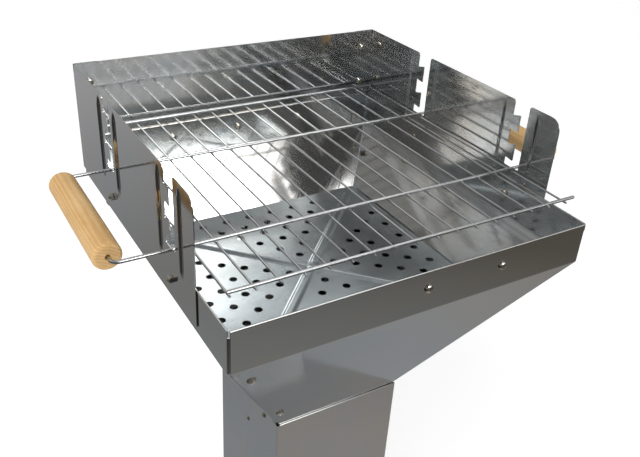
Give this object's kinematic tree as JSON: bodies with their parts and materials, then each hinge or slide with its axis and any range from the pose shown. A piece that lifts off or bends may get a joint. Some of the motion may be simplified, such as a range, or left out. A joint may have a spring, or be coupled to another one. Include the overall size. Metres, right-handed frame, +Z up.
{
  "type": "column charcoal grill",
  "caption": "Square polished sheet-steel charcoal grill on a sheet column and base tray, with a guard on three sides, a height-set grid with wooden handles, and an ash drawer.",
  "frame": {"origin": "on the floor under the centre of the bowl and column", "axes": "+Z up, +X to the right and -Y to the front, which is the side with no guard"},
  "size_m": [0.602, 0.4617, 0.846],
  "materials": {
    "mirror_steel": "mirror-polished stainless sheet",
    "satin_steel": "satin stainless sheet",
    "galvanised": "zinc-coated sheet, semi-matt",
    "chrome_wire": "bright chromed wire",
    "zinc_fastener": "bright zinc",
    "beech": "turned beech, bare"
  },
  "bodies": {
    "stand": {"column_front": "mirror_steel", "column_rear": "mirror_steel", "bowl_front_panel": "mirror_steel", "bowl_rear_panel": "mirror_steel", "bowl_right_panel": "mirror_steel", "bowl_left_panel": "mirror_steel", "right_guard": "mirror_steel", "left_guard": "mirror_steel", "rear_guard": "mirror_steel", "base_tray": "satin_steel", "right_drawer_runner": "galvanised", "left_drawer_runner": "galvanised", "base_front_left_bolt": "zinc_fastener", "base_front_right_bolt": "zinc_fastener", "base_rear_left_bolt": "zinc_fastener", "base_rear_right_bolt": "zinc_fastener", "left_collar_front_screw": "zinc_fastener", "right_collar_front_screw": "zinc_fastener", "left_collar_rear_screw": "zinc_fastener", "right_collar_rear_screw": "zinc_fastener", "left_seam_upper_screw": "zinc_fastener", "left_seam_lower_screw": "zinc_fastener", "right_seam_upper_screw": "zinc_fastener", "right_seam_lower_screw": "zinc_fastener", "left_guard_front_bolt": "zinc_fastener", "left_guard_rear_bolt": "zinc_fastener", "right_guard_front_bolt": "zinc_fastener", "right_guard_rear_bolt": "zinc_fastener", "rear_left_corner_upper_bolt": "zinc_fastener", "rear_left_corner_lower_bolt": "zinc_fastener", "rear_right_corner_upper_bolt": "zinc_fastener", "rear_right_corner_lower_bolt": "zinc_fastener", "rear_wall_left_bolt": "zinc_fastener", "rear_wall_middle_bolt": "zinc_fastener", "rear_wall_right_bolt": "zinc_fastener", "front_left_hip_upper_bolt": "zinc_fastener", "front_left_hip_lower_bolt": "zinc_fastener", "front_right_hip_upper_bolt": "zinc_fastener", "front_right_hip_lower_bolt": "zinc_fastener", "rear_left_hip_upper_bolt": "zinc_fastener", "rear_left_hip_lower_bolt": "zinc_fastener", "rear_right_hip_upper_bolt": "zinc_fastener", "rear_right_hip_lower_bolt": "zinc_fastener", "front_wall_middle_bolt": "zinc_fastener", "front_wall_right_bolt": "zinc_fastener"},
    "grid": {"cooking_grid": "chrome_wire", "front_handle_wire": "chrome_wire", "rear_handle_wire": "chrome_wire"},
    "left_handle": {"left_handle": "beech"},
    "right_handle": {"right_handle": "beech"},
    "coal_plate": {"coal_plate": "galvanised"},
    "ash_drawer": {"ash_tray": "galvanised", "drawer_front": "mirror_steel", "drawer_left_bolt": "zinc_fastener", "drawer_right_bolt": "zinc_fastener", "drawer_knob": "zinc_fastener"}
  },
  "joints": [
    {"name": "grid_lift", "type": "slide", "parent": "stand", "child": "grid", "axis": [0, 0, 1], "range_m": [0, 0.12]},
    {"name": "left_handle_spin", "type": "hinge", "parent": "grid", "child": "left_handle", "pos_m": [-0.281, -0.0064, 0.7643], "axis": [0, 1, 0], "continuous": true},
    {"name": "right_handle_spin", "type": "hinge", "parent": "grid", "child": "right_handle", "pos_m": [0.291, -0.0064, 0.7643], "axis": [0, 1, 0], "continuous": true},
    {"name": "coal_plate_lift", "type": "slide", "parent": "stand", "child": "coal_plate", "axis": [0, 0, 1], "range_m": [0, 0.11]},
    {"name": "ash_drawer_slide", "type": "slide", "parent": "stand", "child": "ash_drawer", "axis": [0, -1, 0], "range_m": [0, 0.14]}
  ]
}
